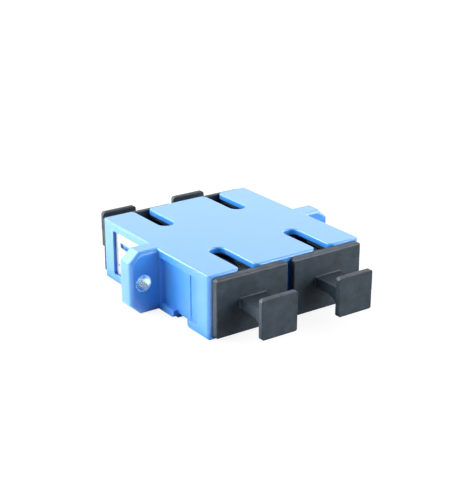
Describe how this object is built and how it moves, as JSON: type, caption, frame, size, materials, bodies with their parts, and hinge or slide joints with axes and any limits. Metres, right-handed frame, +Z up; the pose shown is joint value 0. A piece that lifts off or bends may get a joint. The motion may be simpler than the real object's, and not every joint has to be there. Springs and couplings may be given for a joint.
{
  "type": "fibre optic adapter",
  "caption": "Flanged two-port coupler for square push-pull fibre plugs, with keyed slots, a side clip for panel mounting and pull-off dust caps with tabs.",
  "frame": {"origin": "centre of the underside, midway between the two ports and between the two ends", "axes": "+X to the right ear, +Y from the front ports to the rear ports, +Z up through the key slots"},
  "size_m": [0.0344, 0.0416, 0.0092],
  "materials": {
    "housing_plastic": "satin moulded plastic, sky blue",
    "holder_plastic": "moulded plastic, ivory",
    "sleeve_ceramic": "polished white ceramic",
    "clip_steel": "bright spring steel sheet",
    "insert_metal": "turned metal, thread inside",
    "cap_plastic": "charcoal moulded plastic with a fine grain"
  },
  "bodies": {
    "adapter": {"housing_front": "housing_plastic", "housing_rear": "housing_plastic", "panel_clip": "clip_steel", "insert_left": "insert_metal", "insert_right": "insert_metal", "latch_holder_left_front": "holder_plastic", "latch_holder_left_rear": "holder_plastic", "latch_holder_right_front": "holder_plastic", "latch_holder_right_rear": "holder_plastic", "sleeve_left": "sleeve_ceramic", "sleeve_right": "sleeve_ceramic"},
    "cap_left_front": {"dust_cap_left_front": "cap_plastic"},
    "cap_left_rear": {"dust_cap_left_rear": "cap_plastic"},
    "cap_right_front": {"dust_cap_right_front": "cap_plastic"},
    "cap_right_rear": {"dust_cap_right_rear": "cap_plastic"}
  },
  "joints": [
    {"name": "cap_left_front_pull", "type": "slide", "parent": "adapter", "child": "cap_left_front", "axis": [0, -1, 0], "range_m": [0, 0.012]},
    {"name": "cap_left_rear_pull", "type": "slide", "parent": "adapter", "child": "cap_left_rear", "axis": [0, 1, 0], "range_m": [0, 0.012]},
    {"name": "cap_right_front_pull", "type": "slide", "parent": "adapter", "child": "cap_right_front", "axis": [0, -1, 0], "range_m": [0, 0.012]},
    {"name": "cap_right_rear_pull", "type": "slide", "parent": "adapter", "child": "cap_right_rear", "axis": [0, 1, 0], "range_m": [0, 0.012]}
  ]
}
